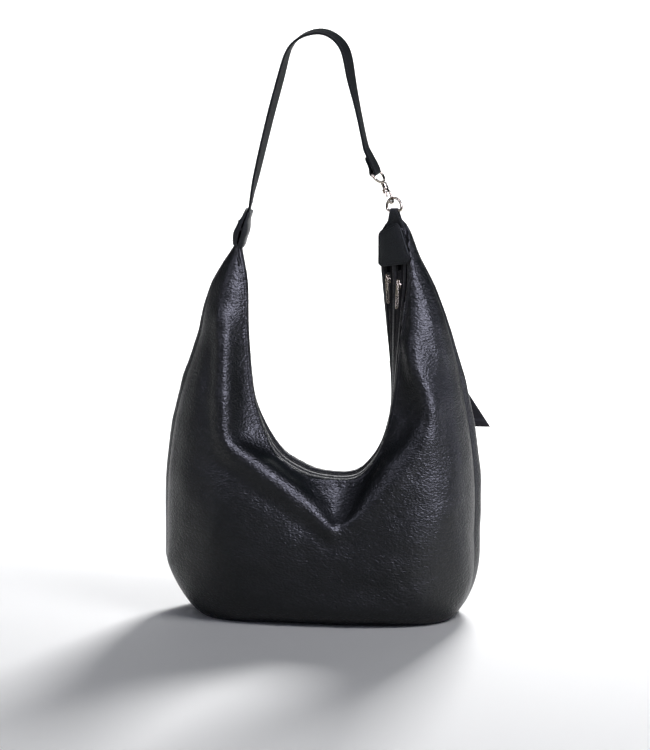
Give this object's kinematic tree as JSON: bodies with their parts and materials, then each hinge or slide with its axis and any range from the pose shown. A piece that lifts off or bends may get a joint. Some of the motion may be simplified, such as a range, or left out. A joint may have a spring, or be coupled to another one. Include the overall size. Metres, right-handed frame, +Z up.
{
  "type": "hobo bag",
  "caption": "Crescent hobo shoulder bag in black pebbled leather with twin zipped compartments, swinging shoulder strap and swivel clasp.",
  "frame": {"origin": "centre of the outline's base, on the surface that the bag stands on", "axes": "+Z up, -Y the front panel, +X towards the horn with the zip pullers and the clasp"},
  "size_m": [0.3853, 0.1535, 0.701],
  "materials": {
    "pebbled_leather": "black pebble-grained coated leather, satin",
    "smooth_leather": "smooth black leather, low sheen",
    "strap_leather": "black strap leather, matt",
    "lining_cloth": "plain woven lining",
    "zip_tape": "woven polyester tape",
    "zip_coil": "moulded coil teeth",
    "webbing": "woven polyester webbing",
    "nickel": "polished nickel plate"
  },
  "bodies": {
    "bag": {"front_panel": "pebbled_leather", "back_panel": "pebbled_leather", "front_zip_facing": "pebbled_leather", "centre_zip_strip": "pebbled_leather", "back_zip_facing": "pebbled_leather", "front_lining": "lining_cloth", "back_lining": "lining_cloth", "centre_divider": "lining_cloth", "end_patch": "smooth_leather", "ring_tab": "smooth_leather", "left_collar": "smooth_leather", "front_zip_teeth_front": "zip_coil", "front_zip_tape_front": "zip_tape", "front_zip_teeth_back": "zip_coil", "front_zip_tape_back": "zip_tape", "back_zip_teeth_front": "zip_coil", "back_zip_tape_front": "zip_tape", "back_zip_teeth_back": "zip_coil", "back_zip_tape_back": "zip_tape"},
    "strap": {"shoulder_strap": "strap_leather", "swivel_eye": "nickel"},
    "clasp": {"clasp_hook": "nickel", "gate_pin": "nickel", "gate_spring": "nickel"},
    "gate": {"clasp_gate": "nickel"},
    "ring": {"horn_ring": "nickel"},
    "tail": {"strap_tail": "webbing"},
    "front_slider": {"front_zip_slider": "nickel"},
    "front_puller": {"front_zip_puller": "nickel"},
    "back_slider": {"back_zip_slider": "nickel"},
    "back_puller": {"back_zip_puller": "nickel"}
  },
  "joints": [
    {"name": "strap_swing", "type": "hinge", "parent": "bag", "child": "strap", "pos_m": [-0.08505, -0.0001, 0.50324], "axis": [0.9996, -0.0277, -0.0027], "range_deg": [-60, 60]},
    {"name": "clasp_swivel", "type": "hinge", "parent": "strap", "child": "clasp", "pos_m": [0.07431, -0.00267, 0.51397], "axis": [0.4034, -0.1602, -0.9009], "range_deg": [-6, 6]},
    {"name": "gate_open", "type": "hinge", "parent": "clasp", "child": "gate", "pos_m": [0.07398, -0.00726, 0.51175], "axis": [0.8594, -0.2718, 0.4331], "range_deg": [0, 18], "stiffness_Nm_per_rad": 0.002, "springref_deg": -5.73},
    {"name": "ring_swing", "type": "hinge", "parent": "bag", "child": "ring", "pos_m": [0.0842, -0.0071, 0.491], "axis": [0.9034, -0.4212, 0.08], "range_deg": [-3, 3]},
    {"name": "front_zip_run", "type": "slide", "parent": "bag", "child": "front_slider", "axis": [-0.0381, -0.016, -0.9991], "range_m": [0, 0.022]},
    {"name": "front_puller_swing", "type": "hinge", "parent": "front_slider", "child": "front_puller", "pos_m": [0.08864, -0.01112, 0.40505], "axis": [-0.6824, 0.7309, 0.0143], "range_deg": [0, 150]},
    {"name": "back_zip_run", "type": "slide", "parent": "bag", "child": "back_slider", "axis": [0.0332, 0.0781, -0.9964], "range_m": [0, 0.035]},
    {"name": "back_puller_swing", "type": "hinge", "parent": "back_slider", "child": "back_puller", "pos_m": [0.07494, 0.00254, 0.40899], "axis": [-0.7178, 0.6956, 0.0306], "range_deg": [0, 150]},
    {"name": "tail_swing", "type": "hinge", "parent": "bag", "child": "tail", "pos_m": [0.1102, 0.0584, 0.31393], "axis": [0.8387, 0, 0.5446], "range_deg": [0, 75]}
  ]
}
